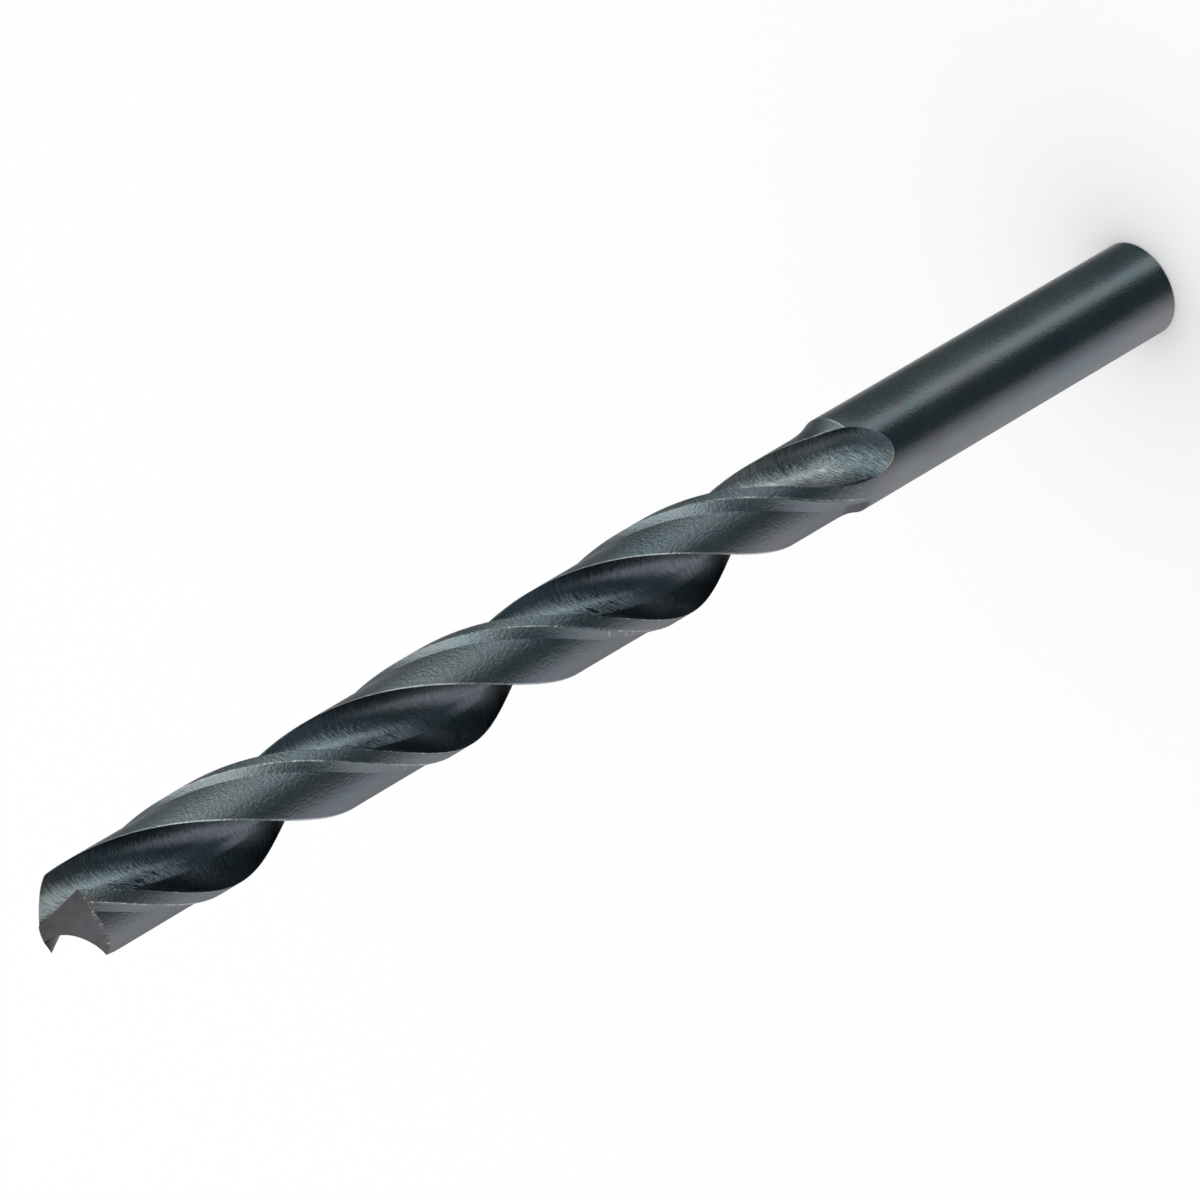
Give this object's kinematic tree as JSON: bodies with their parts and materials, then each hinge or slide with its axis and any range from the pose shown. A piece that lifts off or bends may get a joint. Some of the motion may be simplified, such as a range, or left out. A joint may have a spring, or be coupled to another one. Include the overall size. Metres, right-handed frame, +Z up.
{
  "type": "twist drill bit",
  "caption": "Straight-shank twist drill bit in dark oxide-finished steel, with right-hand helical flutes and a conical ground point.",
  "frame": {"origin": "centre of the flat end of the shank, which the drill stands on", "axes": "+Z up the drill's axis from the shank's end to the point; +X through one outer corner of the point; +Y completes the right hand"},
  "size_m": [0.008, 0.008, 0.1143],
  "materials": {
    "oxide_steel": "black oxide, satin, worn bright on the cutting edges"
  },
  "bodies": {
    "root": {"drill_bit": "oxide_steel"}
  },
  "joints": []
}
